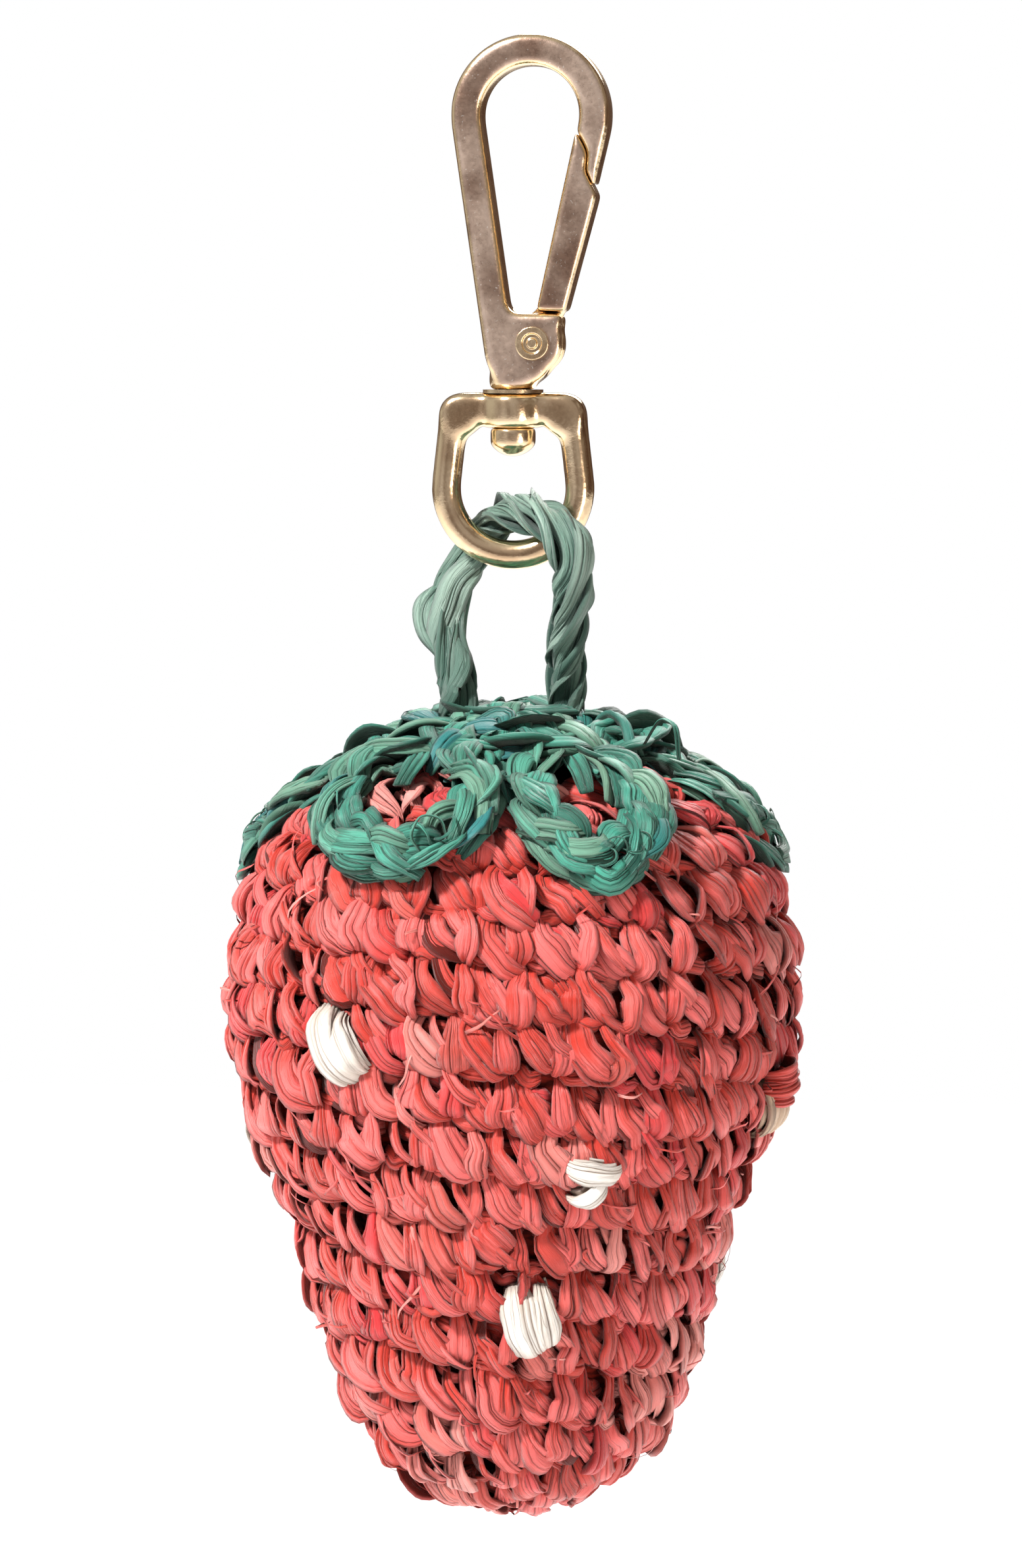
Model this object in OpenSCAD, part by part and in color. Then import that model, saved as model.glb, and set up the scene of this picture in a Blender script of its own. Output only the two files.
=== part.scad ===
// Crochet strawberry bag charm on a brass swivel snap hook.
// The origin is the centre of the hook's bow, +Z points up the hanging charm,
// and the front of the hook faces -Y.

/* [Snap hook] */
// Inner radius of the bow, which hangs on a ring or strap
bow_inner_r = 4.7; // [4.5:0.1:5]
// Outer radius of the bow
bow_outer_r = 7.4; // [7.2:0.1:7.6]
// Front-to-back thickness of the hook
hook_t = 4; // [3.6:0.2:5]
// Radius of the rounded foot
foot_r = 3.25; // [3.1:0.05:3.4]
// Radius of the gate rivet's shank
rivet_r = 0.8; // [0.7:0.05:0.9]
// Radius of the gate rivet's heads
rivet_head_r = 1.57; // [1.4:0.01:1.7]

/* [Swivel eye] */
// Radius of the eye's bar
eye_bar_r = 1.35; // [1.2:0.05:1.4]
// Radius of the eye's round bow, to the middle of its bar
eye_bow_r = 6.4; // [6.2:0.1:6.6]
// Height of the crossbar
crossbar_h = 3.2; // [3:0.1:3.2]
// Radius of the swivel pin's shank
pin_r = 1.1; // [1:0.05:1.2]

/* [Hanging loop] */
// Diameter of the twisted raffia strap
loop_d = 3.8; // [3.4:0.1:3.9]

/* [Strawberry] */
// Radius of the berry at its widest
berry_r = 27.3; // [26:0.1:28]
// Height of the berry without its calyx
berry_h = 74.5; // [72:0.5:76]
// Thickness of the crochet fabric
fabric_t = 4; // [3:0.5:5]
// Thickness of a leaf's braid
leaf_t = 2.6; // [2:0.2:3]
// Width of a leaf
leaf_w = 16; // [14:0.5:16]

/* [Hidden] */

$fn = 64;
clearance = 0.05;
overshoot = 0.1;

// The swivel pin, the eye and the berry hang on this line.
axis_x = -1.8;

// Hook outline, as [x, z] points in its own plane.
foot_centre = [-1, -22];
throat_centre = [-1.1, -17.4];
throat_r = 1.15;
rivet_centre = [0.3, -21.3];
cheek_r = 2.75;
barrel_r = 2.6;
slot_t = 1.6;
slot_r = 2.95;
slot_left = -2.2;
lug_top = rivet_centre[1] + cheek_r;
nose_face = [[4.42, -1.53], [5, -2.5], [5.5, -3.6], [5.3, -5.2], [6.4, -7.4]];
gate_gap = 0.12;
gate_foot_inner = [0.65, -18.2];
gate_foot_outer = [3.33, -18.35];
tongue_top = [[-0.9, -19.3], [0.75, -17.9], [3.1, -17.9], [2.75, -20.6]];
rivet_head_t = 0.5;
rivet_dimple_r = 0.95;
rivet_dimple_t = 0.3;

// Gate spring: two turns of wire behind the gate's tongue.
tongue_front = -slot_t / 2 + clearance;
tongue_back = 0.15;
spring_wire_r = 0.15;
spring_leg_r = 0.12;
spring_coil_r = 1.2;
spring_y = [0.34, 0.6];
// The peg on the tongue that the spring's free leg pushes.
peg_place = [2.3, -19.2];
peg_r = 0.3;

// Heights along the swivel axis.
collar_bottom = -25.6;
collar_r = 2.2;
collar_h = 1.6;
washer_t = 0.35;
washer_r = 2.85;
crossbar_top = collar_bottom - washer_t - clearance;
crossbar_bottom = crossbar_top - crossbar_h;
pin_top = -23.7;
pin_head_r = 2.1;
pin_head_h = 2.6;
pin_head_round_r = 2.5;
eye_centre_z = -34.8;
eye_top_half = 5.6;
boss_r = 2.7;
crossbar_t = 2.8;
crossbar_corner_r = 2;

// Route of the hanging loop: up behind the eye, through it, and down in front.
loop_route = [
    [-7.4, 0, -54], [-7.7, 0.6, -52], [-8.3, 1.6, -49.2], [-8.6, 2.6, -46.6], [-8.3, 3.5, -44.2],
    [-7.4, 4, -42], [-6.1, 4.1, -39.9], [-4.6, 3.5, -38.2], [-2.9, 2.1, -37.1], [-1.1, 0.2, -36.7],
    [0.8, -1.8, -37], [2.4, -3.6, -38], [3.7, -4.4, -39.8], [4.3, -4.1, -42], [4.1, -3.2, -44.4],
    [3.7, -2.1, -47], [3.4, -1.1, -49.6], [3.1, -0.3, -52], [3, 0, -54]
];
loop_sides = 8;
loop_end_rings = 4;
loop_steps = 3;

// Berry outline, as [radius, depth below the top] shares of its size.
berry_top = -58.5;
berry_outline = [
    [0, 0], [0.3, 0.01], [0.58, 0.035], [0.79, 0.08], [0.92, 0.15], [0.98, 0.23],
    [1, 0.32], [0.985, 0.4], [0.93, 0.49], [0.8, 0.61], [0.69, 0.74], [0.6, 0.84],
    [0.48, 0.92], [0.3, 0.97], [0, 1]
];
outline_steps = 3;
top_hole_r = 3.5;
stuffing_top = -67;
stuffing_gap = 0.1;
knot_z = -64.2;
knot_ring_r = 2.6;
knot_strand_r = 1.4;
knot_core = [2.4, 2.2];

crown_top = -56.2;
crown_r = 9.5;
crown_edge_r = 1.2;
crown_depth = 3.5;
leaf_count = 6;
leaf_turn = -27;
leaf_start = 10.2;
leaf_length = 20.5;
leaf_braid_w = 4.6;
leaf_lean = 38;
rest_gap = 0.1;
// The berry's shoulder is nearly round: its arc's centre, as [radius, z], and its radius.
shoulder_centre = [8.8, -77.2];
shoulder_r = 18.2;

// Seeds as [turn from the front, height] round the berry.
seed_places = [
    [-28.5, -85.1], [25.2, -96.4], [12.2, -110.8], [76.5, -93], [-97, -97],
    [140, -86], [-150, -91], [178, -104], [118, -111], [-125, -113]
];
seed_r = 2.7;
seed_t = 1.1;

brass = [0.72, 0.6, 0.45];
leaf_green = [0.3, 0.6, 0.5];
pale_green = [0.6, 0.72, 0.65];
berry_red = [0.85, 0.3, 0.27];
seed_cream = [0.93, 0.9, 0.86];

// A point at this angle and distance from a centre.
function polar(centre, r, angle) = centre + r * [cos(angle), sin(angle)];

// The quadrilateral that joins two circles along their common tangents.
function tangent_quad(c1, r1, c2, r2) =
    let (d = norm(c2 - c1))
    let (line = atan2(c2[1] - c1[1], c2[0] - c1[0]))
    let (open = acos((r1 - r2) / d))
    [
        polar(c1, r1, line - open), polar(c2, r2, line - open),
        polar(c2, r2, line + open), polar(c1, r1, line + open)
    ];

// One point of a smooth curve through four neighbours, t running from b to c.
function spline(a, b, c, d, t) =
    0.5 * (2 * b + (c - a) * t + (2 * a - 5 * b + 4 * c - d) * t * t
        + (3 * b - a - 3 * c + d) * t * t * t);

// A smooth curve through a list of points.
function smooth_through(points, steps) =
    let (last = len(points) - 1)
    [
        for (i = [0 : last - 1], s = [0 : steps - 1])
            spline(points[max(i - 1, 0)], points[i], points[i + 1], points[min(i + 2, last)], s / steps),
        points[last]
    ];

// Draws a shape from the hook's plane at its thickness, centred on Y = mid_y.
module plate(thickness, mid_y = 0) {
    translate([0, mid_y, 0])
        rotate([90, 0, 0])
            linear_extrude(height = thickness, center = true)
                children();
}

// A cylinder between two points.
module rod(from, to, r) {
    run = to - from;
    translate(from)
        rotate([0, acos(run[2] / norm(run)), atan2(run[1], run[0])])
            cylinder(h = norm(run), r = r);
}

module two_circle_shape(c1, r1, c2, r2) {
    translate(c1)
        circle(r = r1);
    translate(c2)
        circle(r = r2);
    polygon(tangent_quad(c1, r1, c2, r2));
}

// The whole side of the hook that belongs to the gate.
module gate_side() {
    polygon(concat(nose_face, [[12, -7.4], [12, -27], [3, -27], [3, lug_top], [-1, lug_top], [0, -14]]));
}

module hook_outline() {
    difference() {
        two_circle_shape([0, 0], bow_outer_r, foot_centre, foot_r);
        two_circle_shape([0, 0], bow_inner_r, throat_centre, throat_r);
        gate_side();
    }
    translate(foot_centre)
        circle(r = foot_r);
    translate(rivet_centre)
        circle(r = cheek_r);
}

// Room between the cheeks for the gate's tongue through its whole swing.
module tongue_slot() {
    translate(rivet_centre)
        circle(r = slot_r);
    translate([slot_left, rivet_centre[1]])
        square([7, 5]);
}

module hook_body() {
    color(brass)
        difference() {
            union() {
                plate(hook_t)
                    hook_outline();
                translate([axis_x, 0, collar_bottom])
                    cylinder(h = collar_h, r = collar_r);
            }
            plate(slot_t)
                tongue_slot();
            plate(hook_t + 2 * overshoot)
                translate(rivet_centre)
                    circle(r = rivet_r);
            translate([axis_x, 0, collar_bottom - overshoot])
                cylinder(h = pin_top - collar_bottom + overshoot, r = pin_r);
        }
}

// The gate's blade, as thick as the hook, from the nose down to the cheeks.
module gate_blade_outline() {
    difference() {
        polygon(concat(
            [for (p = nose_face) p + [-gate_gap, -gate_gap]],
            [gate_foot_outer, gate_foot_inner]
        ));
        translate(rivet_centre)
            circle(r = slot_r);
    }
}

module gate_tongue_outline() {
    difference() {
        union() {
            translate(rivet_centre)
                circle(r = barrel_r);
            polygon(tongue_top);
        }
        translate(rivet_centre)
            circle(r = rivet_r + clearance);
    }
}

module gate() {
    color(brass) {
        plate(hook_t)
            gate_blade_outline();
        plate(tongue_back - tongue_front, (tongue_back + tongue_front) / 2)
            gate_tongue_outline();
        translate([peg_place[0], 0, peg_place[1]])
            rod([0, tongue_back - overshoot, 0], [0, spring_y[1] + spring_wire_r, 0], peg_r);
    }
}

module gate_rivet() {
    reach = hook_t / 2 + rivet_head_t;
    color(brass)
        difference() {
            union() {
                plate(hook_t + 2 * rivet_head_t)
                    translate(rivet_centre)
                        circle(r = rivet_r);
                for (side = [-1, 1])
                    plate(rivet_head_t, side * (hook_t + rivet_head_t) / 2)
                        translate(rivet_centre)
                            circle(r = rivet_head_r);
            }
            for (side = [-1, 1])
                plate(2 * rivet_dimple_t, side * reach)
                    translate(rivet_centre)
                        difference() {
                            circle(r = rivet_dimple_r);
                            circle(r = rivet_dimple_r / 2);
                        }
        }
}

module gate_spring() {
    color("silver")
        translate([rivet_centre[0], 0, rivet_centre[1]]) {
            rotate([90, 0, 0])
                rotate_extrude()
                    for (y = spring_y)
                        translate([spring_coil_r, -y])
                            circle(r = spring_wire_r, $fn = 24);
            // Fixed leg, resting in the hook's slot.
            rod([0, spring_y[0], -spring_coil_r], [-2.1, spring_y[0], -spring_coil_r - 0.1], spring_leg_r);
            // Free leg, pushing the gate's peg towards the nose.
            rod([spring_coil_r, spring_y[1], 0], [1.5, spring_y[1], 2.4], spring_leg_r);
        }
}

module swivel_pin() {
    head_top = crossbar_bottom - clearance;
    color(brass)
        translate([axis_x, 0, 0]) {
            translate([0, 0, head_top - overshoot])
                cylinder(h = pin_top - head_top + overshoot, r = pin_r);
            intersection() {
                translate([0, 0, head_top - pin_head_h])
                    cylinder(h = pin_head_h, r = pin_head_r);
                translate([0, 0, head_top - pin_head_h + pin_head_round_r])
                    sphere(r = pin_head_round_r);
            }
        }
}

module swivel_washer() {
    color(brass)
        translate([axis_x, 0, collar_bottom - washer_t])
            difference() {
                cylinder(h = washer_t, r = washer_r);
                translate([0, 0, -overshoot])
                    cylinder(h = washer_t + 2 * overshoot, r = pin_r);
            }
}

module swivel_eye() {
    shoulder_z = (crossbar_top + crossbar_bottom) / 2 - 0.2;
    color(brass)
        translate([axis_x, 0, 0])
            difference() {
                union() {
                    // Round bow.
                    translate([0, 0, eye_centre_z])
                        rotate([90, 0, 0])
                            rotate([0, 0, 180])
                                rotate_extrude(angle = 180, $fn = 96)
                                    translate([eye_bow_r, 0])
                                        circle(r = eye_bar_r, $fn = 32);
                    // Legs, leaning in towards the crossbar.
                    for (side = [-1, 1]) {
                        shoulder = [side * eye_top_half, 0, shoulder_z];
                        rod([side * eye_bow_r, 0, eye_centre_z], shoulder, eye_bar_r);
                        translate(shoulder)
                            sphere(r = eye_bar_r, $fn = 32);
                    }
                    // Crossbar with its rounded shoulders and the boss round the pin.
                    plate(crossbar_t)
                        crossbar_outline();
                    translate([0, 0, crossbar_bottom])
                        cylinder(h = crossbar_h, r = boss_r);
                }
                translate([0, 0, crossbar_bottom - 1])
                    cylinder(h = crossbar_h + 2, r = pin_r + clearance);
            }
}

module crossbar_outline() {
    corner = crossbar_corner_r;
    half = eye_top_half + eye_bar_r;
    for (side = [-1, 1])
        translate([side * (half - corner), crossbar_top - corner])
            circle(r = corner);
    translate([corner - half, crossbar_bottom + 0.5])
        square([2 * (half - corner), crossbar_h - 0.5]);
    translate([-half + 0.35, crossbar_bottom + 0.5])
        square([2 * half - 0.7, crossbar_h - 0.5 - corner]);
}

// The loop's centre line, and the rings of a tube with rounded ends on it.
loop_line = smooth_through(loop_route, loop_steps);
loop_r = loop_d / 2;

function unit(v) = v / norm(v);
function line_dir(i) =
    unit(loop_line[min(i + 1, len(loop_line) - 1)] - loop_line[max(i - 1, 0)]);
function ring_at(centre, along, r) =
    let (across = unit(cross(along, [0.3, 1, 0])))
    let (other = cross(along, across))
    [
        for (k = [0 : loop_sides - 1])
            centre + r * (cos(360 * k / loop_sides) * across + sin(360 * k / loop_sides) * other)
    ];
// One ring of a rounded end, turn going from 0 at its tip to 90 at its rim.
function end_ring(centre, outwards, along, turn) =
    ring_at(centre + outwards * loop_r * cos(turn), along, loop_r * sin(turn));

module hanging_loop() {
    last = len(loop_line) - 1;
    cap_step = 90 / loop_end_rings;
    start_cap = [
        for (k = [1 : loop_end_rings - 1])
            end_ring(loop_line[0], -line_dir(0), line_dir(0), k * cap_step)
    ];
    body = [for (i = [0 : last]) ring_at(loop_line[i], line_dir(i), loop_r)];
    end_cap = [
        for (k = [loop_end_rings - 1 : -1 : 1])
            end_ring(loop_line[last], line_dir(last), line_dir(last), k * cap_step)
    ];
    rings = concat(start_cap, body, end_cap);
    points = [for (ring = rings, p = ring) p];
    first_tip = [for (k = [loop_sides - 1 : -1 : 0]) k];
    last_tip = [for (k = [0 : loop_sides - 1]) (len(rings) - 1) * loop_sides + k];
    walls = [
        for (i = [0 : len(rings) - 2], k = [0 : loop_sides - 1])
            let (next = (k + 1) % loop_sides)
            let (low = i * loop_sides)
            let (high = low + loop_sides)
            [low + k, low + next, high + next, high + k]
    ];
    color(pale_green)
        polyhedron(points, concat([first_tip], walls, [last_tip]), convexity = 6);
}

// The berry's outline in mm, as [radius, z], pushed out along its normal.
berry_curve = [
    for (p = smooth_through(berry_outline, outline_steps))
        [max(p[0], 0) * berry_r, berry_top - p[1] * berry_h]
];
function outline_normal(i) =
    let (run = berry_curve[min(i + 1, len(berry_curve) - 1)] - berry_curve[max(i - 1, 0)])
    unit([-run[1], run[0]]);
function outline_pushed(distance) =
    let (last = len(berry_curve) - 1)
    [
        for (i = [0 : last])
            i == 0 ? [0, berry_top + distance]
                : i == last ? [0, berry_top - berry_h - distance]
                : berry_curve[i] + distance * outline_normal(i)
    ];

module berry_form(distance) {
    translate([axis_x, 0, 0])
        rotate_extrude($fn = 96)
            polygon(outline_pushed(distance));
}

module berry_cover() {
    color(berry_red)
        difference() {
            berry_form(0);
            berry_form(-fabric_t);
            translate([axis_x, 0, berry_top - fabric_t - 1])
                cylinder(h = fabric_t + 2, r = top_hole_r);
        }
}

module berry_stuffing() {
    color("ivory")
        difference() {
            berry_form(-fabric_t - stuffing_gap);
            translate([axis_x, 0, stuffing_top])
                cylinder(h = 20, r = 40);
        }
}

module loop_knot() {
    color(pale_green)
        translate([axis_x, 0, knot_z]) {
            rotate_extrude()
                translate([knot_ring_r, 0])
                    circle(r = knot_strand_r, $fn = 32);
            cylinder(h = knot_core[1], r = knot_core[0], center = true);
        }
}

module calyx_crown() {
    edge_r = crown_edge_r;
    under = berry_top - crown_depth;
    color(leaf_green)
        translate([axis_x, 0, 0])
            difference() {
                union() {
                    translate([0, 0, under])
                        cylinder(h = crown_top - edge_r - under, r = crown_r, $fn = 96);
                    translate([0, 0, under])
                        cylinder(h = crown_top - under, r = crown_r - edge_r, $fn = 96);
                    translate([0, 0, crown_top - edge_r])
                        rotate_extrude($fn = 96)
                            translate([crown_r - edge_r, 0])
                                circle(r = edge_r, $fn = 32);
                }
                translate([-axis_x, 0, 0])
                    berry_form(rest_gap);
            }
}

// A leaf's plan: a rounded loop of braid, standing from the crown's edge.
module leaf_plan() {
    tip_r = leaf_w / 2;
    root_r = leaf_braid_w / 2 + 0.6;
    tip_centre = [0, leaf_length - tip_r];
    difference() {
        two_circle_shape([0, root_r], root_r, tip_centre, tip_r);
        two_circle_shape([0, leaf_braid_w + 2], 1, tip_centre, tip_r - leaf_braid_w);
    }
}

// A band as thick as a leaf, all round the berry's shoulder.
module leaf_band() {
    reach = shoulder_r + leaf_t + 1;
    translate([axis_x, 0, 0])
        rotate_extrude($fn = 96)
            intersection() {
                translate(shoulder_centre)
                    difference() {
                        circle(r = shoulder_r + leaf_t, $fn = 128);
                        circle(r = shoulder_r, $fn = 128);
                    }
                translate(shoulder_centre)
                    square(reach);
            }
}

module leaf(number) {
    turn = leaf_turn + (number - 1) * 360 / leaf_count;
    color(leaf_green)
        difference() {
            intersection() {
                leaf_band();
                translate([axis_x, 0, berry_top])
                    rotate([0, 0, turn])
                        translate([0, -leaf_start, 2])
                            rotate([leaf_lean, 0, 0])
                                linear_extrude(height = 36, center = true)
                                    rotate([0, 0, 180])
                                        leaf_plan();
            }
            translate([axis_x, 0, crown_top - 20])
                cylinder(h = 40, r = crown_r + rest_gap, $fn = 96);
        }
}

module seed(number) {
    place = seed_places[number - 1];
    color(seed_cream)
        intersection() {
            difference() {
                berry_form(rest_gap + seed_t);
                berry_form(rest_gap);
            }
            translate([axis_x, 0, place[1]])
                rotate([0, 0, place[0]])
                    rotate([90, 0, 0])
                        cylinder(h = 40, r = seed_r, $fn = 32);
        }
}

hook_body();
gate();
gate_rivet();
gate_spring();
swivel_pin();
swivel_washer();
swivel_eye();
hanging_loop();
loop_knot();
calyx_crown();
leaf(1);  // leaf_1
leaf(2);  // leaf_2
leaf(3);  // leaf_3
leaf(4);  // leaf_4
leaf(5);  // leaf_5
leaf(6);  // leaf_6
berry_cover();
berry_stuffing();
seed(1);  // seed_1
seed(2);  // seed_2
seed(3);  // seed_3
seed(4);  // seed_4
seed(5);  // seed_5
seed(6);  // seed_6
seed(7);  // seed_7
seed(8);  // seed_8
seed(9);  // seed_9
seed(10);  // seed_10
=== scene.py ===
"""Looks of the crochet strawberry bag charm: raffia stitches, looped leaves, strap and cast brass hook.

Lengths are millimetres in the row frame until a mesh is made, when MM turns them into metres.
Angles round the berry start at the front (-Y) and grow towards +X.
"""

import math

import bpy
import numpy as np
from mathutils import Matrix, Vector
from mathutils.bvhtree import BVHTree


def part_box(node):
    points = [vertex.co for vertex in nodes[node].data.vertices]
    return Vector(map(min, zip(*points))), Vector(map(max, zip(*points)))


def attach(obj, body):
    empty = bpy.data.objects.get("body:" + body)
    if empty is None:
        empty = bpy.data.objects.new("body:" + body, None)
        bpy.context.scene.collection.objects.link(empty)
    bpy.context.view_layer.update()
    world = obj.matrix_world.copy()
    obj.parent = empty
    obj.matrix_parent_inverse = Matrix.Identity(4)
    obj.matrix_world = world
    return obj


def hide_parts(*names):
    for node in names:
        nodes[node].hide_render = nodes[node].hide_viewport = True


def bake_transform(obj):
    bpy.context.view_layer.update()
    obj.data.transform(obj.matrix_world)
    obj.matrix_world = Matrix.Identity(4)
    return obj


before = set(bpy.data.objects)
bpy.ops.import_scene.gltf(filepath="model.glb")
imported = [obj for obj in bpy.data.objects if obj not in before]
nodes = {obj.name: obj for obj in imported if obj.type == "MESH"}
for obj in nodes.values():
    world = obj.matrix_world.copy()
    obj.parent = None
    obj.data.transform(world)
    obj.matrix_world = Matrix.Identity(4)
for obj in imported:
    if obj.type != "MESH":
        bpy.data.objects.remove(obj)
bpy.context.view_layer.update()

MM = 0.001
# The eye, the strap and the berry hang on this axis.
AXIS_X = -1.8
# The camera's distance and the height it sees are in mm, its turn from the front and its rise in degrees.
CAMERA_AIM = Vector((-2.0, 0.0, -62.9))
CAMERA_DISTANCE = 450.0
CAMERA_TURN = 8.0
CAMERA_RISE = 5.0
VIEW_HEIGHT = 148.75
# The floor is this many mm below the berry and reaches this many metres each way.
FLOOR_DROP = 270.0
FLOOR_REACH = 2.0
FLOOR_GLOW = 0.78
# The studio's light on polished parts, how much less of it matt parts get, and the turn and rise in degrees
# where it is brightest.
WORLD_STRENGTH = 0.55
DIFFUSE_CUT = 0.12
WORLD_TOP = (-40, 42)


# ---------------------------------------------------------------- camera, lights, world

def direction_from(turn, rise):
    """Unit vector towards a point at this turn from the front and rise above level, in degrees."""
    a, e = math.radians(turn), math.radians(rise)
    return Vector((math.sin(a) * math.cos(e), -math.cos(a) * math.cos(e), math.sin(e)))


def add_camera():
    """The camera at the photograph's viewing angle."""
    data = bpy.data.cameras.new("photo_camera")
    data.sensor_fit = "VERTICAL"
    data.sensor_height = 24.0
    data.lens = data.sensor_height * CAMERA_DISTANCE / VIEW_HEIGHT
    data.clip_start = 0.01
    data.clip_end = 10.0
    camera = bpy.data.objects.new("photo_camera", data)
    towards = direction_from(CAMERA_TURN, CAMERA_RISE)
    camera.location = (CAMERA_AIM + towards * CAMERA_DISTANCE) * MM
    camera.rotation_euler = (-towards).to_track_quat("-Z", "Y").to_euler()
    bpy.context.scene.collection.objects.link(camera)
    bpy.context.scene.camera = camera


def add_light(name, turn, rise, distance, size, power, colour):
    """A round soft light that faces the camera's aim: degrees, mm, metres and watts."""
    data = bpy.data.lights.new(name, "AREA")
    data.shape = "DISK"
    data.size = size
    data.energy = power
    data.color = colour
    light = bpy.data.objects.new(name, data)
    towards = direction_from(turn, rise)
    light.location = (CAMERA_AIM + towards * distance) * MM
    light.rotation_euler = (-towards).to_track_quat("-Z", "Y").to_euler()
    bpy.context.scene.collection.objects.link(light)


def add_world():
    """White where the camera sees it; its light is bright from the upper left and warm and dim opposite."""
    world = bpy.data.worlds.new("studio")
    bpy.context.scene.world = world
    world.use_nodes = True
    tree = world.node_tree
    tree.nodes.clear()
    output = tree.nodes.new("ShaderNodeOutputWorld")
    mix = tree.nodes.new("ShaderNodeMixShader")
    seen = tree.nodes.new("ShaderNodeBackground")
    seen.inputs["Color"].default_value = (1, 1, 1, 1)
    lit = tree.nodes.new("ShaderNodeBackground")
    path = tree.nodes.new("ShaderNodeLightPath")
    strength = tree.nodes.new("ShaderNodeMath")
    strength.operation = "MULTIPLY_ADD"
    strength.inputs[1].default_value = -DIFFUSE_CUT
    strength.inputs[2].default_value = WORLD_STRENGTH
    coord = tree.nodes.new("ShaderNodeTexCoord")
    dot = tree.nodes.new("ShaderNodeVectorMath")
    dot.operation = "DOT_PRODUCT"
    dot.inputs[1].default_value = direction_from(*WORLD_TOP)
    ramp = tree.nodes.new("ShaderNodeValToRGB")
    ramp.color_ramp.elements[0].position = 0.05
    ramp.color_ramp.elements[0].color = (0.14, 0.07, 0.045, 1)
    ramp.color_ramp.elements[1].position = 0.95
    ramp.color_ramp.elements[1].color = (1.0, 0.98, 0.96, 1)
    middle = ramp.color_ramp.elements.new(0.5)
    middle.color = (0.4, 0.32, 0.27, 1)
    half = tree.nodes.new("ShaderNodeMath")
    half.operation = "MULTIPLY_ADD"
    half.inputs[1].default_value = 0.5
    patches = tree.nodes.new("ShaderNodeTexNoise")
    patches.inputs["Scale"].default_value = 2.4
    patches.inputs["Detail"].default_value = 1.0
    spread = tree.nodes.new("ShaderNodeMapRange")
    spread.inputs["From Min"].default_value = 0.35
    spread.inputs["From Max"].default_value = 0.65
    spread.inputs["To Min"].default_value = 0.22
    spread.inputs["To Max"].default_value = 0.72
    links = tree.links
    links.new(path.outputs["Is Diffuse Ray"], strength.inputs[0])
    links.new(strength.outputs[0], lit.inputs["Strength"])
    links.new(coord.outputs["Generated"], dot.inputs[0])
    links.new(dot.outputs["Value"], half.inputs[0])
    links.new(coord.outputs["Generated"], patches.inputs["Vector"])
    links.new(patches.outputs["Fac"], spread.inputs["Value"])
    links.new(spread.outputs["Result"], half.inputs[2])
    links.new(half.outputs[0], ramp.inputs["Fac"])
    links.new(ramp.outputs["Color"], lit.inputs["Color"])
    links.new(path.outputs["Is Camera Ray"], mix.inputs["Fac"])
    links.new(lit.outputs[0], mix.inputs[1])
    links.new(seen.outputs[0], mix.inputs[2])
    links.new(mix.outputs[0], output.inputs["Surface"])


add_camera()
add_world()
add_light("key", -38, 44, 700, 0.1, 9.6, (1.0, 0.97, 0.94))
add_light("fill", 45, -10, 800, 0.3, 1.6, (1.0, 0.84, 0.72))
add_light("back", 170, 35, 800, 0.5, 5.0, (1.0, 0.98, 0.96))
bpy.context.scene.view_settings.view_transform = "Standard"


# ---------------------------------------------------------------- materials

class Painter:
    """Builds a material's nodes with short calls."""

    def __init__(self, name):
        self.material = bpy.data.materials.new(name)
        self.material.use_nodes = True
        self.tree = self.material.node_tree
        self.shader = self.tree.nodes["Principled BSDF"]

    def node(self, kind, **settings):
        made = self.tree.nodes.new(kind)
        for key, value in settings.items():
            setattr(made, key, value)
        return made

    def link(self, source, target):
        self.tree.links.new(source, target)

    def math(self, operation, a, b=None, c=None, clamp=False):
        made = self.node("ShaderNodeMath", operation=operation, use_clamp=clamp)
        for slot, value in zip(made.inputs, (a, b, c)):
            if value is None:
                continue
            if isinstance(value, (int, float)):
                slot.default_value = value
            else:
                self.link(value, slot)
        return made.outputs[0]

    def mix(self, factor, a, b):
        made = self.node("ShaderNodeMix", data_type="RGBA")
        for slot, value in ((made.inputs[0], factor), (made.inputs[6], a), (made.inputs[7], b)):
            if isinstance(value, (int, float)):
                slot.default_value = value
            elif isinstance(value, tuple):
                slot.default_value = (*value, 1)
            else:
                self.link(value, slot)
        return made.outputs[2]

    def noise(self, vector, scale, detail, roughness):
        made = self.node("ShaderNodeTexNoise")
        made.inputs["Scale"].default_value = scale
        made.inputs["Detail"].default_value = detail
        made.inputs["Roughness"].default_value = roughness
        self.link(vector, made.inputs["Vector"])
        return made.outputs["Fac"]

    def stretch(self, vector, scale):
        made = self.node("ShaderNodeVectorMath", operation="MULTIPLY")
        made.inputs[1].default_value = scale
        self.link(vector, made.inputs[0])
        return made.outputs[0]

    def ramp(self, value, low, high):
        made = self.node("ShaderNodeMapRange", interpolation_type="SMOOTHSTEP")
        made.inputs["From Min"].default_value = low
        made.inputs["From Max"].default_value = high
        self.link(value, made.inputs["Value"])
        return made.outputs["Result"]

    def bump(self, height, strength, distance):
        made = self.node("ShaderNodeBump")
        made.inputs["Strength"].default_value = strength
        made.inputs["Distance"].default_value = distance
        self.link(height, made.inputs["Height"])
        self.link(made.outputs["Normal"], self.shader.inputs["Normal"])


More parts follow.
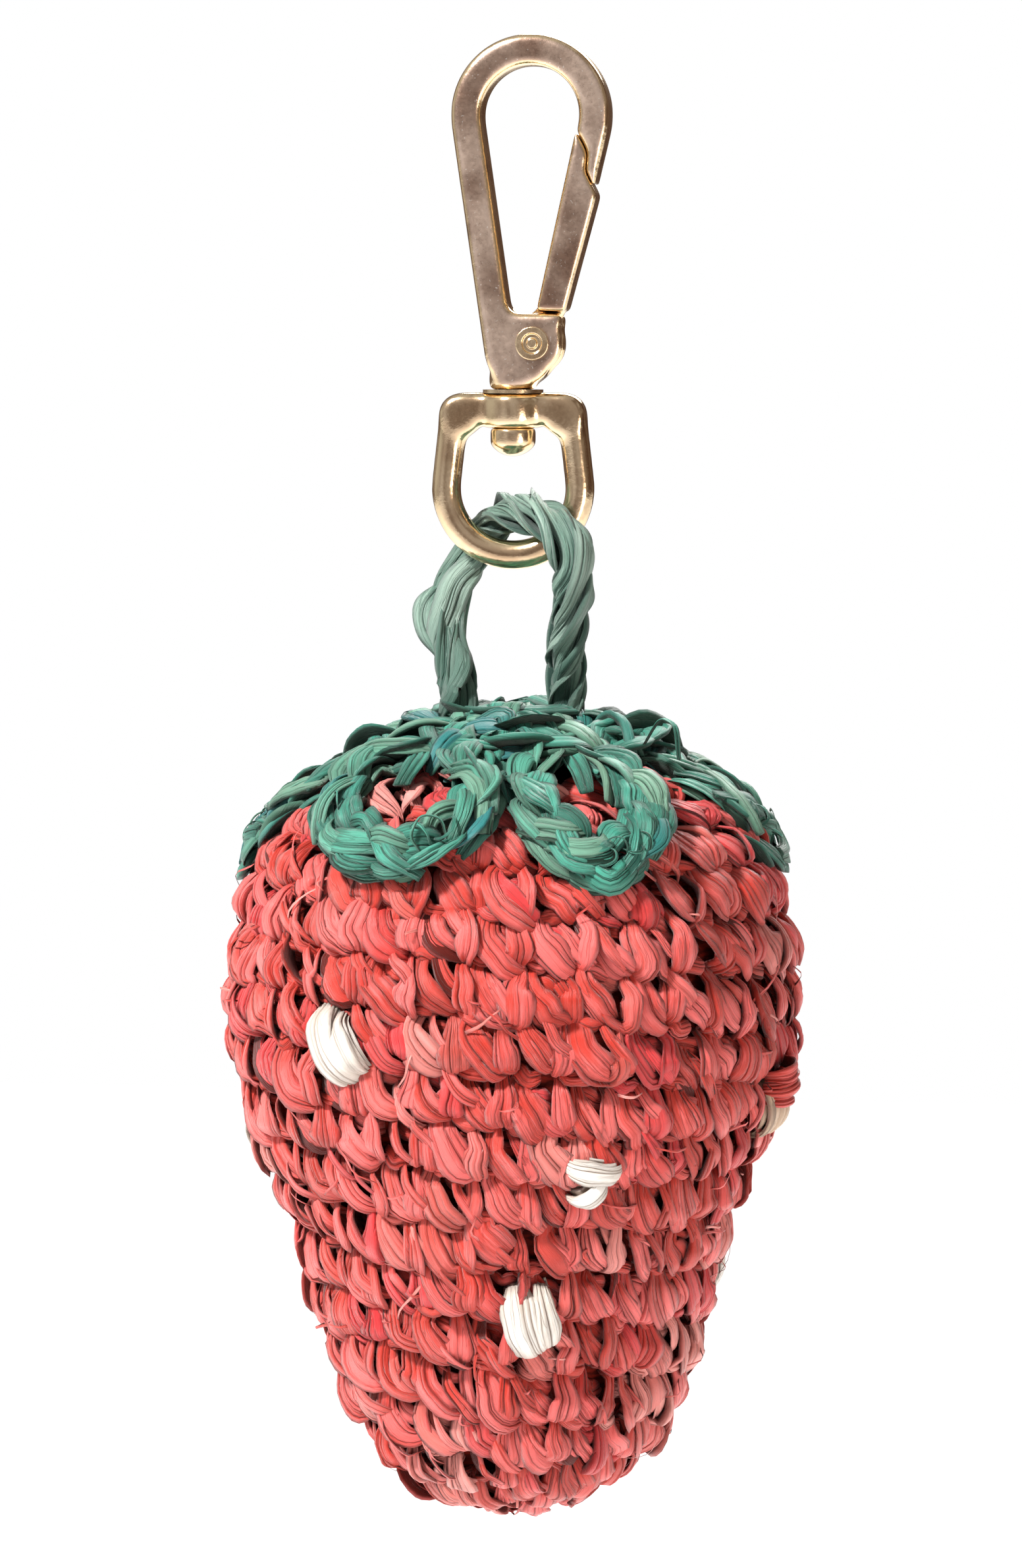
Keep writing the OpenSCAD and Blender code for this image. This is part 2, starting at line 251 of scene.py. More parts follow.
def raffia(name, shade_colour, mid, light, pale, accent):
    """Creased raffia ribbon: fine streaks and hairline creases along the fibre, with painted shade in its
    folds, rims, ends and hairlines.
    """
    p = Painter(name)
    fibre = p.node("ShaderNodeAttribute", attribute_name="fibre").outputs["Vector"]
    tone = p.node("ShaderNodeSeparateXYZ")
    p.link(p.node("ShaderNodeAttribute", attribute_name="tone").outputs["Vector"], tone.inputs[0])
    bright, painted_fold_shade, hue = tone.outputs
    fine = p.noise(p.stretch(fibre, (4.4, 0.2, 7.3)), 1.0, 5.0, 0.78)
    broad = p.noise(p.stretch(fibre, (1.3, 0.25, 5.1)), 1.0, 2.0, 0.5)
    # The mix towards the light colour follows random fibre streaks and the brightness channel, which holds
    # painted shade at the ribbons' ends and on deeper strands.
    level = p.math("MULTIPLY_ADD", fine, 1.3, p.math("MULTIPLY_ADD", broad, 0.9, bright))
    level = p.math("SUBTRACT", level, 1.1)
    body = p.mix(p.ramp(level, -0.24, 0.28), mid, light)
    body = p.mix(p.ramp(hue, 0.5, 1.0), body, pale)
    body = p.mix(p.ramp(hue, 0.14, 0.0), body, accent)
    # Painted shade: drawn hairlines and the fold channel mix the colour towards the shade colour, and lower
    # the specular there.
    crackle = p.noise(p.stretch(fibre, (1.5, 0.1, 3.7)), 1.0, 2.0, 0.45)
    hairline = p.ramp(p.math("ABSOLUTE", p.math("SUBTRACT", crackle, 0.5)), 0.022, 0.004)
    shade = p.math("MAXIMUM", painted_fold_shade, p.math("MULTIPLY", hairline, 0.3), clamp=True)
    p.link(p.mix(p.math("MULTIPLY", shade, 0.96), body, shade_colour), p.shader.inputs["Base Color"])
    p.link(p.math("MULTIPLY_ADD", fine, 0.3, 0.26), p.shader.inputs["Roughness"])
    p.link(p.math("MULTIPLY_ADD", shade, -0.55, 0.6), p.shader.inputs["Specular IOR Level"])
    p.shader.inputs["Sheen Weight"].default_value = 0.2
    p.bump(p.math("SUBTRACT", fine, p.math("MULTIPLY", hairline, 0.5)), 0.8, 0.00028)
    return p.material


def brass(name, face, edge, tarnish, face_rough, edge_rough, speckle):
    """Cast brass: flat faces satin and speckled, rounded sides polished, darker in places."""
    p = Painter(name)
    coord = p.node("ShaderNodeTexCoord")
    axes = p.node("ShaderNodeSeparateXYZ")
    p.link(coord.outputs["Normal"], axes.inputs[0])
    flat = p.ramp(p.math("ABSOLUTE", axes.outputs[1]), 0.8, 0.97)
    place = coord.outputs["Object"]
    cloud = p.noise(place, 420.0, 3.0, 0.5)
    swell = p.noise(place, 150.0, 1.0, 0.4)
    grain = p.noise(place, 2600.0, 3.0, 0.7)
    pits = p.ramp(p.noise(place, 4200.0, 2.0, 0.5), 0.66, 0.74)
    patches = p.math("MULTIPLY_ADD", swell, 1.2, p.math("MULTIPLY", cloud, 0.5))
    face_tone = p.mix(p.ramp(patches, 0.55, 1.1), tarnish, face)
    face_tone = p.mix(p.math("MULTIPLY", pits, speckle), face_tone, (0.95, 0.9, 0.85))
    edge_tone = p.mix(p.math("MULTIPLY", p.ramp(cloud, 0.42, 0.3), 0.55), edge, tarnish)
    p.link(p.mix(flat, edge_tone, face_tone), p.shader.inputs["Base Color"])
    satin = p.math("MULTIPLY_ADD", grain, 0.2, face_rough - 0.1)
    polished = p.math("MULTIPLY_ADD", cloud, 0.16, edge_rough - 0.08)
    rough = p.math("MULTIPLY_ADD", flat, p.math("SUBTRACT", satin, polished), polished)
    p.link(rough, p.shader.inputs["Roughness"])
    p.shader.inputs["Metallic"].default_value = 1.0
    p.bump(p.math("MULTIPLY_ADD", swell, 9.0, p.math("MULTIPLY_ADD", grain, 0.5, cloud)), 0.3, 0.0001)
    return p.material


def fibre_fill(name):
    """Loose white filling."""
    p = Painter(name)
    coord = p.node("ShaderNodeTexCoord").outputs["Object"]
    lumps = p.noise(coord, 420.0, 5.0, 0.7)
    p.link(p.mix(lumps, (0.7, 0.68, 0.62), (0.92, 0.91, 0.87)), p.shader.inputs["Base Color"])
    p.shader.inputs["Roughness"].default_value = 0.9
    p.bump(lumps, 0.8, 0.0006)
    return p.material


def shade_weave(name, shade_colour, mid):
    """Painted shade: a dark sheet seen only between stitches, where the gaps are in shade."""
    p = Painter(name)
    coord = p.node("ShaderNodeTexCoord").outputs["Object"]
    strands = p.noise(p.stretch(coord, (1.0, 1.0, 2.6)), 700.0, 3.0, 0.6)
    p.link(p.mix(p.ramp(strands, 0.4, 0.7), shade_colour, mid), p.shader.inputs["Base Color"])
    p.shader.inputs["Roughness"].default_value = 0.75
    p.shader.inputs["Specular IOR Level"].default_value = 0.1
    p.bump(strands, 0.6, 0.0003)
    return p.material


RED = raffia(
    "red_raffia", shade_colour=(0.08, 0.004, 0.001), mid=(0.56, 0.024, 0.009), light=(0.85, 0.128, 0.12),
    pale=(0.88, 0.33, 0.29), accent=(0.66, 0.025, 0.03),
)
GREEN = raffia(
    "green_raffia", shade_colour=(0.008, 0.022, 0.014), mid=(0.008, 0.13, 0.09), light=(0.048, 0.36, 0.26),
    pale=(0.17, 0.36, 0.25), accent=(0.006, 0.18, 0.18),
)
PALE_GREEN = raffia(
    "pale_green_raffia", shade_colour=(0.02, 0.05, 0.04), mid=(0.1, 0.2, 0.155), light=(0.27, 0.41, 0.34),
    pale=(0.36, 0.49, 0.42), accent=(0.08, 0.2, 0.16),
)
CREAM = raffia(
    "cream_raffia", shade_colour=(0.3, 0.22, 0.17), mid=(0.74, 0.68, 0.61), light=(0.95, 0.93, 0.89),
    pale=(0.66, 0.46, 0.3), accent=(0.8, 0.78, 0.74),
)
# Painted shade seen between the stitches.
SHADE_SHEET = shade_weave("painted_shade_weave", (0.05, 0.003, 0.0015), (0.2, 0.012, 0.006))
CAST = brass(
    "cast_brass", face=(0.72, 0.56, 0.46), edge=(0.88, 0.68, 0.42), tarnish=(0.27, 0.17, 0.125),
    face_rough=0.3, edge_rough=0.18, speckle=0.6,
)
POLISHED = brass(
    "polished_brass", face=(0.76, 0.59, 0.4), edge=(0.83, 0.65, 0.41), tarnish=(0.5, 0.34, 0.21),
    face_rough=0.2, edge_rough=0.16, speckle=0.12,
)
BRIGHT = brass(
    "rivet_brass", face=(0.78, 0.62, 0.42), edge=(0.86, 0.69, 0.45), tarnish=(0.4, 0.26, 0.15),
    face_rough=0.26, edge_rough=0.2, speckle=0.2,
)
STEEL = brass(
    "spring_steel", face=(0.6, 0.6, 0.6), edge=(0.62, 0.62, 0.62), tarnish=(0.35, 0.34, 0.33),
    face_rough=0.3, edge_rough=0.25, speckle=0.1,
)
STUFFING = fibre_fill("stuffing")


def paint(obj, material):
    """Gives an object this material only."""
    obj.data.materials.clear()
    obj.data.materials.append(material)


def add_floor():
    """A plain pale floor well below the hanging charm."""
    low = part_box("berry_cover")[0]
    mesh = bpy.data.meshes.new("floor")
    signs = ((-1, -1), (1, -1), (1, 1), (-1, 1))
    corners = [(x * FLOOR_REACH, y * FLOOR_REACH, low.z - FLOOR_DROP * MM) for x, y in signs]
    mesh.from_pydata(corners, [], [(0, 1, 2, 3)])
    floor = bpy.data.objects.new("floor", mesh)
    bpy.context.scene.collection.objects.link(floor)
    p = Painter("pale_floor")
    p.shader.inputs["Base Color"].default_value = (0.85, 0.85, 0.85, 1)
    p.shader.inputs["Roughness"].default_value = 0.9
    p.shader.inputs["Emission Color"].default_value = (1, 1, 1, 1)
    p.shader.inputs["Emission Strength"].default_value = FLOOR_GLOW
    paint(floor, p.material)


add_floor()


# ---------------------------------------------------------------- the berry's surface

# The height that the outline is measured from, and the radius where the berry's top turns into its side,
# both in mm.
BERRY_MIDDLE = -88.0
SIDE_RADIUS = 12.0


def unit(v):
    """Vectors scaled to length one."""
    return v / np.maximum(np.linalg.norm(v, axis=-1, keepdims=True), 1e-9)


def berry_outline():
    """Radius, height and arc length along the cover's outline, from its top to its tip."""
    mesh = nodes["berry_cover"].data
    tree = BVHTree.FromPolygons([v.co for v in mesh.vertices], [tuple(p.vertices) for p in mesh.polygons])
    centre = Vector((AXIS_X, 0.0, BERRY_MIDDLE)) * MM
    low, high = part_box("berry_cover")
    outline = [(0.0, high.z / MM)]
    for angle in np.radians(np.linspace(8, 179, 343)):
        out = Vector((math.sin(angle), 0.0, math.cos(angle)))
        hit = tree.ray_cast(centre + out * 0.2, -out)[0]
        outline.append((hit.x / MM - AXIS_X, hit.z / MM))
    outline.append((0.0, low.z / MM))
    outline = np.array(outline)
    run = np.r_[0.0, np.cumsum(np.linalg.norm(np.diff(outline, axis=0), axis=1))]
    return outline[:, 0], outline[:, 1], run


RADIUS, HEIGHT, ARC = berry_outline()
ARC_END = ARC[-1]
SLOPE = unit(np.stack([-np.gradient(HEIGHT, ARC), np.gradient(RADIUS, ARC)], axis=-1))


def on_berry(theta, s, h):
    """Points and outward normals at angle theta, arc length s from the top and height h over the surface."""
    over = s > ARC_END
    theta = np.where((s < 0) | over, theta + np.pi, theta)
    s = np.where(over, 2 * ARC_END - s, np.abs(s))
    lumps = 0.2 * np.sin(3 * theta + s / 9) + 0.2 * np.sin(5 * theta - s / 6 + 1)
    h = h + (lumps + 0.15 * np.sin(2 * theta + s / 4.5))
    r, z = np.interp(s, ARC, RADIUS), np.interp(s, ARC, HEIGHT)
    out_r, out_z = np.interp(s, ARC, SLOPE[:, 0]), np.interp(s, ARC, SLOPE[:, 1])
    radial = r + h * out_r
    points = np.stack([AXIS_X + radial * np.sin(theta), -radial * np.cos(theta), z + h * out_z], axis=-1)
    normals = unit(np.stack([out_r * np.sin(theta), -out_r * np.cos(theta), out_z], axis=-1))
    return points, normals


def arc_at(height):
    """Arc length where the outline's side reaches this height."""
    side = np.argmax(RADIUS > SIDE_RADIUS)
    return float(np.interp(-height, -HEIGHT[side:], ARC[side:]))


def middle_of(node):
    """Turn in degrees round the berry, and height in mm, of a CAD node's middle."""
    x, y, z = np.array([v.co for v in nodes[node].data.vertices]).mean(axis=0) / MM
    return math.degrees(math.atan2(x - AXIS_X, -y)), z


# ---------------------------------------------------------------- ribbons

def smooth(knots, samples):
    """Catmull-Rom curves through knots (ribbons, knots, values)."""
    first = 2 * knots[:, :1] - knots[:, 1:2]
    last = 2 * knots[:, -1:] - knots[:, -2:-1]
    padded = np.concatenate([first, knots, last], axis=1)
    t = np.linspace(0, knots.shape[1] - 1, samples)
    i = np.minimum(t.astype(int), knots.shape[1] - 2)
    f = (t - i)[None, :, None]
    a, b, c, d = (padded[:, i + k] for k in range(4))
    return 0.5 * (2 * b + (c - a) * f + (2 * a - 5 * b + 4 * c - d) * f ** 2
                  + (3 * b - a - 3 * c + d) * f ** 3)


class Ribbons:
    """Collects creased raffia ribbons, and makes one mesh piece of them."""

    def __init__(self, seed):
        self.rng = np.random.default_rng(seed)
        self.points, self.fibre, self.tone = [], [], []
        self.quads, self.caps, self.count = [], [], 0

    def add(self, points, up, width, creases, hue, roll=0.0, arch=0.42, depth=0.2, bright=0.0, spread=0.12):
        """Ribbons along middle lines: points and up are (ribbons, samples, 3), width (ribbons, samples).

        Lengths are in mm. roll turns a ribbon about its line, arch is its rise as a share of its half width,
        depth is its creases' depth, and bright, hue and spread set its tone.
        """
        rng = self.rng
        n, samples = width.shape
        along = unit(np.gradient(points, axis=1))
        side = unit(np.cross(along, up))
        up = np.cross(side, along)
        if np.ndim(roll) == 1:
            roll = roll[:, None]
        roll = np.broadcast_to(roll, (n, samples))
        c, w = np.cos(roll)[..., None], np.sin(roll)[..., None]
        side, up = side * c + up * w, up * c - side * w
        t = np.linspace(0, 1, samples)[None, :]
        # The width swells a little along the ribbon.
        wave = rng.uniform(0, 6.28, (n, 3, 1))
        half = width / 2 * (1 + 0.07 * np.sin(9 * t + wave[:, 0]) + 0.05 * np.sin(17 * t + wave[:, 1]))
        # Creases wander across it, and each has three places in the section besides the even ones.
        at = rng.uniform(-0.8, 0.8, (n, 1, creases))
        at = at + rng.normal(0, 0.16, (n, 1, creases)) * (t[..., None] - 0.5)
        even = np.broadcast_to(np.linspace(-1, 1, 7), (n, samples, 7))
        x = np.concatenate([even, at - 0.05, at, at + 0.05], axis=-1)
        x = np.sort(np.clip(x, -1, 1), axis=-1)
        # The top is an arch with a step and a groove at each crease, and fold marks where painted shade goes:
        # the grooves and the rims here, the underside and the ends below.
        y = arch * (1 - np.abs(x) ** 2.4) * half[..., None]
        fold_shade = np.zeros_like(x)
        for k in range(creases):
            gap = x - at[..., k:k + 1]
            sharp = rng.uniform(0.3, 1.3, (n, 1, 1)) * depth
            step = rng.normal(0, 0.9, (n, 1, 1)) * depth
            y += step / (1 + np.exp(-gap / 0.03)) - sharp * np.exp(-(gap / 0.04) ** 2)
            fold_shade = np.maximum(fold_shade, np.exp(-(gap / 0.05) ** 2) * np.clip(sharp / depth, 0, 1))
        y *= np.minimum(1, half[..., None] / 0.5)
        fold_shade = np.maximum(fold_shade, 0.5 * np.clip((np.abs(x) - 0.86) / 0.14, 0, 1))
        # Three places under the arch close the section, all marked as painted shade.
        under = np.broadcast_to(np.array([0.8, 0.0, -0.8]), (n, samples, 3))
        x = np.concatenate([x, under], axis=-1)
        y = np.concatenate([y, -0.22 * half[..., None] * np.array([0.7, 1.0, 0.7])], axis=-1)
        fold_shade = np.concatenate([fold_shade, np.ones((n, samples, 3))], axis=-1)
        across = x * half[..., None]
        ring = points[:, :, None] + side[:, :, None] * across[..., None] + up[:, :, None] * y[..., None]
        run = np.cumsum(np.linalg.norm(np.diff(points, axis=1, prepend=points[:, :1]), axis=-1), axis=1)
        # What the material reads: place on the fibre, then brightness, the mask of painted shade, and hue.
        number = rng.uniform(0, 50, (n, 1, 1))
        fibre = np.stack(np.broadcast_arrays(across, run[..., None], number), axis=-1)
        light = (np.asarray(bright, float) + rng.normal(0, spread, n)).reshape(n, 1, 1)
        # Painted shade: the ribbon gets darker towards both ends, where it dives under its neighbours.
        light = light - 0.8 * (1 - np.sin(np.pi * np.clip(t, 0.02, 0.98)) ** 0.7)[..., None]
        fold_shade = np.maximum(fold_shade, 0.55 * (1 - np.clip(np.minimum(t, 1 - t) / 0.16, 0, 1))[..., None])
        tint = np.broadcast_to(np.asarray(hue, float), (n,)).reshape(n, 1, 1)
        tone = np.stack(np.broadcast_arrays(light, fold_shade, tint), axis=-1)
        size = x.shape[-1]
        ids = self.count + np.arange(n * samples * size).reshape(n, samples, size)
        after = np.roll(ids, -1, axis=2)
        quads = np.stack([ids[:, :-1], after[:, :-1], after[:, 1:], ids[:, 1:]], axis=-1)
        self.quads.append(quads.reshape(-1, 4))
        self.caps.append(np.concatenate([ids[:, 0, ::-1], ids[:, -1]], axis=0))
        self.points.append(ring.reshape(-1, 3))
        self.fibre.append(fibre.reshape(-1, 3))
        self.tone.append(tone.reshape(-1, 3))
        self.count += n * samples * size

    def piece(self, name, material):
        """One object of all the ribbons so far, with their fibre and tone attributes."""
        mesh = bpy.data.meshes.new(name)
        points = np.concatenate(self.points) * MM
        mesh.vertices.add(len(points))
        mesh.vertices.foreach_set("co", points.astype(np.float32).ravel())
        quads = np.concatenate(self.quads)
        loops = [quads.ravel()] + [caps.ravel() for caps in self.caps]
        sizes = [np.full(len(quads), 4)] + [np.full(len(caps), caps.shape[1]) for caps in self.caps]
        loops, sizes = np.concatenate(loops), np.concatenate(sizes)
        mesh.loops.add(len(loops))
        mesh.loops.foreach_set("vertex_index", loops.astype(np.int32))
        mesh.polygons.add(len(sizes))
        starts = np.concatenate([[0], np.cumsum(sizes)[:-1]])
        mesh.polygons.foreach_set("loop_start", starts.astype(np.int32))
        mesh.polygons.foreach_set("use_smooth", np.ones(len(sizes), bool))
        for label, rows in (("fibre", self.fibre), ("tone", self.tone)):
            attribute = mesh.attributes.new(label, "FLOAT_VECTOR", "POINT")
            attribute.data.foreach_set("vector", np.concatenate(rows).astype(np.float32).ravel())
        mesh.update(calc_edges=True)
        obj = bpy.data.objects.new(name, mesh)
        bpy.context.scene.collection.objects.link(obj)
        paint(obj, material)
        return obj


def lay(ribbons, theta, s, h, width, samples=15, **looks):
    """Ribbons over the berry from knots of angle, arc length, height and width, each (ribbons, knots)."""
    rows = smooth(np.stack([theta, s, h, width], axis=-1), samples)
    points, normals = on_berry(rows[..., 0], rows[..., 1], rows[..., 2])
    ribbons.add(points, normals, np.maximum(rows[..., 3], 0.15), **looks)


def lay_plan(ribbons, turn, plan, h, width, samples=15, **looks):
    """Ribbons laid from a plan whose second axis runs down the berry from the crown's centre at this turn."""
    s = np.hypot(plan[..., 0], plan[..., 1])
    theta = np.radians(turn) + np.arctan2(plan[..., 0], plan[..., 1])
    lay(ribbons, theta, s, h, width, samples, **looks)


def add_to_berry(piece, node):
    """Lets a piece move with the berry in place of a CAD node."""
    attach(piece, "berry")
    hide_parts(node)


# ---------------------------------------------------------------- red crochet

# A stitch's width, the arc length where the first round starts and the usual pitch of the rounds, in mm.
STITCH = 5.2
FIRST_ROUND = 9.0
ROUND_PITCH = 4.95
ROUNDS = round((ARC_END - FIRST_ROUND) / ROUND_PITCH)
ROW = (ARC_END - FIRST_ROUND) / ROUNDS
# The stitches' base, and the dark sheet of painted shade below them, stand this far over the CAD surface, in
# mm.
SURFACE_SINK = -1.75
INNER_SINK = SURFACE_SINK - 0.8
# Knots of a stitch's ribbons: shares of the stitch across and down, then height and width in mm.
LEFT_RIBBON = np.array([
    (0.12, -0.16, -0.9, 1.3), (0.07, 0.12, 0.2, 2.0), (0.12, 0.38, 0.9, 2.7),
    (0.28, 0.66, 1.2, 3.3), (0.50, 0.88, 0.9, 2.7), (0.71, 0.98, 0.1, 1.5), (0.84, 1.02, -0.8, 0.6),
])
RIGHT_RIBBON = np.array([
    (0.70, -0.10, -0.8, 0.9), (0.74, 0.15, 0.35, 1.5), (0.76, 0.42, 1.05, 2.3),
    (0.77, 0.68, 1.3, 2.9), (0.76, 0.90, 0.8, 2.5), (0.70, 1.02, -0.6, 1.6),
])
BASE_BAR = np.array([
    (-0.24, 0.84, -0.9, 1.3), (-0.10, 0.89, 0.1, 1.7), (0.06, 0.93, 0.35, 1.9),
    (0.22, 0.96, 0.0, 1.6), (0.34, 1.0, -0.8, 1.1),
])
INNER_STRAND = np.array([
    (0.12, 0.26, -1.0, 1.6), (0.36, 0.34, -0.3, 2.3), (0.55, 0.40, -0.3, 2.3), (0.80, 0.46, -1.0, 1.6),
])
CROSS_STRIP = np.array([
    (0.24, 0.02, -0.7, 0.7), (0.40, 0.34, 0.95, 1.2), (0.62, 0.64, 1.3, 1.5),
    (0.88, 0.90, 0.7, 1.2), (1.04, 1.0, -0.7, 0.7),
])
# Places where the stitches lean towards the pale colour: angle, arc share of the berry, reach in mm and
# amount.
PALE_PLACES = ((-0.62, 0.83, 9.0, 0.55), (-0.2, 0.37, 3.2, 0.4), (-1.25, 0.5, 5.0, 0.3))


def stitch_round(number):
    """One round of crochet stitches."""
    ribbons = Ribbons(100 + number)
    rng = ribbons.rng
    start = FIRST_ROUND + number * ROW
    radius = np.interp(min(start + ROW / 2, ARC_END), ARC, RADIUS)
    count = max(6, round(2 * math.pi * radius / STITCH))
    k = np.arange(count)
    cell = 2 * math.pi / count
    # A round starts at the back, a little further on than the last one, and winds down to the next.
    theta0 = math.pi + cell * (k - 0.1 * number)
    s0 = start + ROW * k / count
    s0 += 0.4 * np.sin(2 * theta0 + number) + 0.3 * np.sin(5 * theta0 + 1.7 * number)
    hue = rng.uniform(0, 0.6, count) + 0.3 * (rng.uniform(0, 1, count) > 0.9)
    bright = rng.normal(0, 0.1, count) + 0.08 * math.sin(1.9 * number)
    for angle, share, reach, amount in PALE_PLACES:
        turn = np.angle(np.exp(1j * (theta0 - angle)))
        distance = np.hypot(turn * radius, s0 - share * ARC_END)
        hue += amount * np.exp(-(distance / reach) ** 2)
    # Painted shade: the inner strand and the base bar, which lie deeper, get lower brightness.
    for knots, jitter, looks in (
        (INNER_STRAND, 0.05, dict(bright=-0.2, creases=2, arch=0.45)),
        (BASE_BAR, 0.05, dict(bright=-0.3, creases=4, arch=0.5, depth=0.13)),
        (LEFT_RIBBON, 0.07, dict(bright=0.0, creases=4, arch=0.22, depth=0.17)),
        (RIGHT_RIBBON, 0.07, dict(bright=0.05, creases=4, arch=0.26, depth=0.17)),
        (CROSS_STRIP, 0.16, dict(bright=0.04, creases=2, arch=0.2, depth=0.12)),
    ):
        rows = np.broadcast_to(knots, (count, *knots.shape)).copy()
        rows[..., :2] += rng.normal(0, jitter, (count, 1, 2)) + rng.normal(0, 0.035, (count, len(knots), 2))
        rows[..., 2] += rng.normal(0, 0.26 if knots is CROSS_STRIP else 0.16, (count, 1))
        rows[..., 3] *= rng.uniform(0.78, 1.2, (count, 1)) * min(1.0, cell * radius / 4.6)
        theta = theta0[:, None] + rows[..., 0] * cell
        tilt = 1.1 * np.sin(theta)
        s = s0[:, None] + rows[..., 1] * ROW * 1.04 + tilt * min(1.0, radius / 12)
        tones = dict(looks)
        tones["bright"] = bright + tones["bright"]
        lay(ribbons, theta, s, rows[..., 2] + SURFACE_SINK, rows[..., 3],
            roll=rng.normal(0, 0.34, count), hue=hue + rng.normal(0, 0.08, count), **tones)
    stray_fibres(ribbons, theta0, s0, count // 3)
    return ribbons


def stray_fibres(ribbons, theta0, s0, count):
    """Thin split fibres that lift off the ribbons."""
    rng = ribbons.rng
    pick = rng.integers(0, len(theta0), count)
    t = np.array([0.0, 0.3, 0.65, 1.0])[None]
    theta = theta0[pick][:, None] + rng.normal(0, 0.1, (count, 1)) * t + rng.normal(0, 0.015, (count, 4))
    s = s0[pick][:, None] + rng.uniform(1, 4, (count, 1)) + rng.normal(0, 2.2, (count, 1)) * t
    h = SURFACE_SINK + np.array([0.8, 1.5, 1.9, 1.3])[None] + rng.uniform(0, 0.5, (count, 4))
    width = np.broadcast_to(np.array([0.35, 0.3, 0.22, 0.15]), (count, 4))
    lay(ribbons, theta, s, h, width, samples=8, creases=1, depth=0.02, hue=rng.uniform(0.2, 0.9, count))


def shade_shell():
    """Painted shade: a smooth dark skin just below the stitches, seen in the gaps between them."""
    s = np.linspace(4.0, ARC_END, 90)
    theta = np.linspace(0, 2 * np.pi, 120, endpoint=False)
    grid_s, grid_theta = np.meshgrid(s, theta, indexing="ij")
    depth = np.full(grid_s.shape, INNER_SINK)
    points, _ = on_berry(grid_theta, np.minimum(grid_s, ARC_END - 1e-4), depth)
    ids = np.arange(points.shape[0] * points.shape[1]).reshape(points.shape[:2])
    after = np.roll(ids, -1, axis=1)
    quads = np.stack([ids[:-1], ids[1:], after[1:], after[:-1]], axis=-1).reshape(-1, 4)
    mesh = bpy.data.meshes.new("painted_shade_sheet")
    mesh.from_pydata((points.reshape(-1, 3) * MM).tolist(), [], quads.tolist())
    mesh.polygons.foreach_set("use_smooth", np.ones(len(quads), bool))
    obj = bpy.data.objects.new("painted_shade_sheet", mesh)
    bpy.context.scene.collection.objects.link(obj)
    paint(obj, SHADE_SHEET)
    return obj


add_to_berry(shade_shell(), "berry_cover")
for number in range(ROUNDS):
    piece = stitch_round(number).piece(f"stitch_round_{number + 1}", RED)
    add_to_berry(piece, "berry_cover")


# ---------------------------------------------------------------- seeds

def wrap(start, end, width, bow):
    """Knots of one strip that dives in at both ends: right, down, height and width in mm."""
    t = np.array([0.0, 0.2, 0.5, 0.8, 1.0])
    start, end = np.array(start, float), np.array(end, float)
    across = unit(np.array([end[1] - start[1], start[0] - end[0]]))
    line = start + (end - start) * t[:, None] + across * bow * np.sin(np.pi * t)[:, None]
    height = np.array([-1.6, 0.1, 0.6, 0.1, -1.6])
    return np.column_stack([line, height, width * np.array([0.6, 0.88, 1.0, 0.9, 0.6])])


def wrapped(ribbons, node, strips, lift, **looks):
    """Strips laid over the stitches round a CAD node's middle."""
    turn, height = middle_of(node)
    s0 = arc_at(height)
    radius = np.interp(s0, ARC, RADIUS)
    for strip in strips:
        knots = wrap(*strip)[None]
        theta = np.radians(turn) + knots[..., 0] / radius
        lay(ribbons, theta, s0 + knots[..., 1], knots[..., 2] + lift, knots[..., 3],
            creases=4, depth=0.16, arch=0.3, spread=0.05, **looks)


# Each strip of a seed: its start and end, right and down from the seed's middle, then its width and its bow,
# all in mm.
SLANTED = (((-0.4, -3.0), (2.4, 2.6), 2.4, 0.3), ((-1.8, -3.8), (1.6, 3.4), 3.3, -0.5))
SIDEWAYS = (((1.0, 0.0), (-2.1, 2.7), 2.1, 0.2), ((-3.1, -0.9), (2.7, -0.2), 2.3, 0.2))
FAN = (((0.9, -3.5), (2.2, 2.8), 2.2, 0.0), ((-1.2, -3.4), (0.8, 3.6), 3.7, -0.4))
BROAD = (((-0.6, -3.0), (0.9, 3.0), 3.0, -0.2), ((1.3, -2.6), (1.4, 2.6), 1.8, 0.0))
SEED_KINDS = (SLANTED, SIDEWAYS, FAN, BROAD, BROAD, FAN, SLANTED, SIDEWAYS, SLANTED, FAN)
TAN_SEED = 4
# A seed's strips are wrapped over themselves, at these heights in mm over the stitches.
SEED_LIFTS = (-0.7, -0.1, 0.45)
TAIL_LIFT = 0.7
for number, strips in enumerate(SEED_KINDS, start=1):
    ribbons = Ribbons(300 + number)
    hue = 0.9 if number == TAN_SEED else 0.3
    for lift in SEED_LIFTS:
        wrapped(ribbons, f"seed_{number}", strips, lift, hue=hue, bright=0.1)
    add_to_berry(ribbons.piece(f"seed_wrap_{number}", CREAM), f"seed_{number}")

# The red yarn's end, rolled up above the tan seed.
TAIL_STRIPS = (
    ((-1.6, -3.6), (1.7, -4.8), 1.8, 0.3),
    ((-1.4, -2.4), (1.8, -3.4), 1.9, 0.3),
    ((-1.2, -1.4), (1.5, -2.0), 1.5, 0.2),
)
tail_ribbons = Ribbons(350)
wrapped(tail_ribbons, f"seed_{TAN_SEED}", TAIL_STRIPS, TAIL_LIFT, hue=0.35)
add_to_berry(tail_ribbons.piece("yarn_tail", RED), "berry_cover")


# ---------------------------------------------------------------- calyx

# Length of a chain stitch in mm.
CHAIN_PITCH = 4.0
